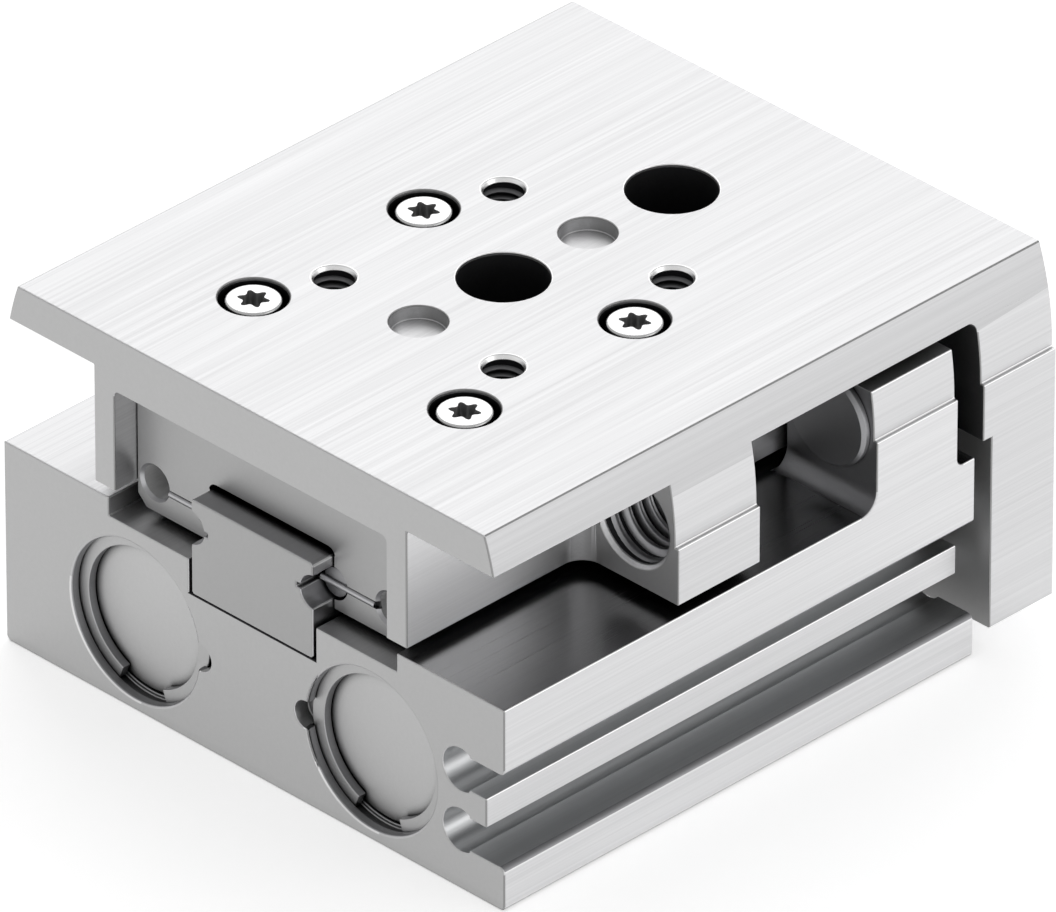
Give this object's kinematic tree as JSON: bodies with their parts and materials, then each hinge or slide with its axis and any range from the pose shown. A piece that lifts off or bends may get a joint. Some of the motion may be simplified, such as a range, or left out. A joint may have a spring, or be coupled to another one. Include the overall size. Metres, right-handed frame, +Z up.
{
  "type": "pneumatic slide table",
  "caption": "Compact pneumatic slide table: a ball-guided table and yoke in one piece on a slotted housing, pushed by parallel pistons, with a threaded stop lug.",
  "frame": {"origin": "on the housing's underside, midway between its two mounting holes", "axes": "+X along the stroke, the way the table moves out; +Z up, away from the mounting face; +Y to the left-hand side with the air ports"},
  "size_m": [0.0657, 0.0596, 0.036],
  "materials": {
    "housing": "fine brushed, anodised",
    "table": "fine brushed, anodised",
    "cap_aluminium": "turned",
    "guide_steel": "ground",
    "hardened_steel": "hardened, polished",
    "spring_wire": "drawn wire",
    "rod_steel": "hard chromed, ground",
    "bright_screw": "zinc plated",
    "black_screw": "blackened",
    "bearing_metal": "turned",
    "seal_rubber": "matt",
    "bumper_rubber": "matt polyurethane",
    "magnet": "sintered"
  },
  "bodies": {
    "housing_body": {"housing": "housing", "stop_button": "hardened_steel", "guide_rail": "guide_steel", "rail_screws": "black_screw", "left_end_cap": "cap_aluminium", "left_cap_o_ring": "seal_rubber", "left_cap_snap_ring": "spring_wire", "left_rear_bumper": "bumper_rubber", "left_front_bumper": "bumper_rubber", "left_rod_bearing": "bearing_metal", "left_bearing_o_ring": "seal_rubber", "left_bearing_snap_ring": "spring_wire", "left_rod_seal": "seal_rubber", "right_end_cap": "cap_aluminium", "right_cap_o_ring": "seal_rubber", "right_cap_snap_ring": "spring_wire", "right_rear_bumper": "bumper_rubber", "right_front_bumper": "bumper_rubber", "right_rod_bearing": "bearing_metal", "right_bearing_o_ring": "seal_rubber", "right_bearing_snap_ring": "spring_wire", "right_rod_seal": "seal_rubber"},
    "table_body": {"table": "table", "table_screws": "bright_screw", "carriage": "guide_steel", "rear_wire_retainers": "spring_wire", "front_wire_retainers": "spring_wire", "rear_track_inserts": "guide_steel", "front_track_inserts": "guide_steel", "left_piston": "cap_aluminium", "left_piston_seal": "seal_rubber", "left_piston_magnet": "magnet", "left_piston_nut": "bright_screw", "left_piston_rod": "rod_steel", "left_rod_screw": "black_screw", "right_piston": "cap_aluminium", "right_piston_seal": "seal_rubber", "right_piston_magnet": "magnet", "right_piston_nut": "bright_screw", "right_piston_rod": "rod_steel", "right_rod_screw": "black_screw"},
    "ball_rows": {"left_balls": "hardened_steel", "right_balls": "hardened_steel"}
  },
  "joints": [
    {"name": "table_slide", "type": "slide", "parent": "housing_body", "child": "table_body", "axis": [1, 0, 0], "range_m": [0, 0.01]},
    {"name": "ball_roll", "type": "slide", "parent": "housing_body", "child": "ball_rows", "axis": [1, 0, 0], "range_m": [0, 0.005]}
  ],
  "couplings": [
    {"joint": "ball_roll", "follows": "table_slide", "ratio": 0.5}
  ]
}
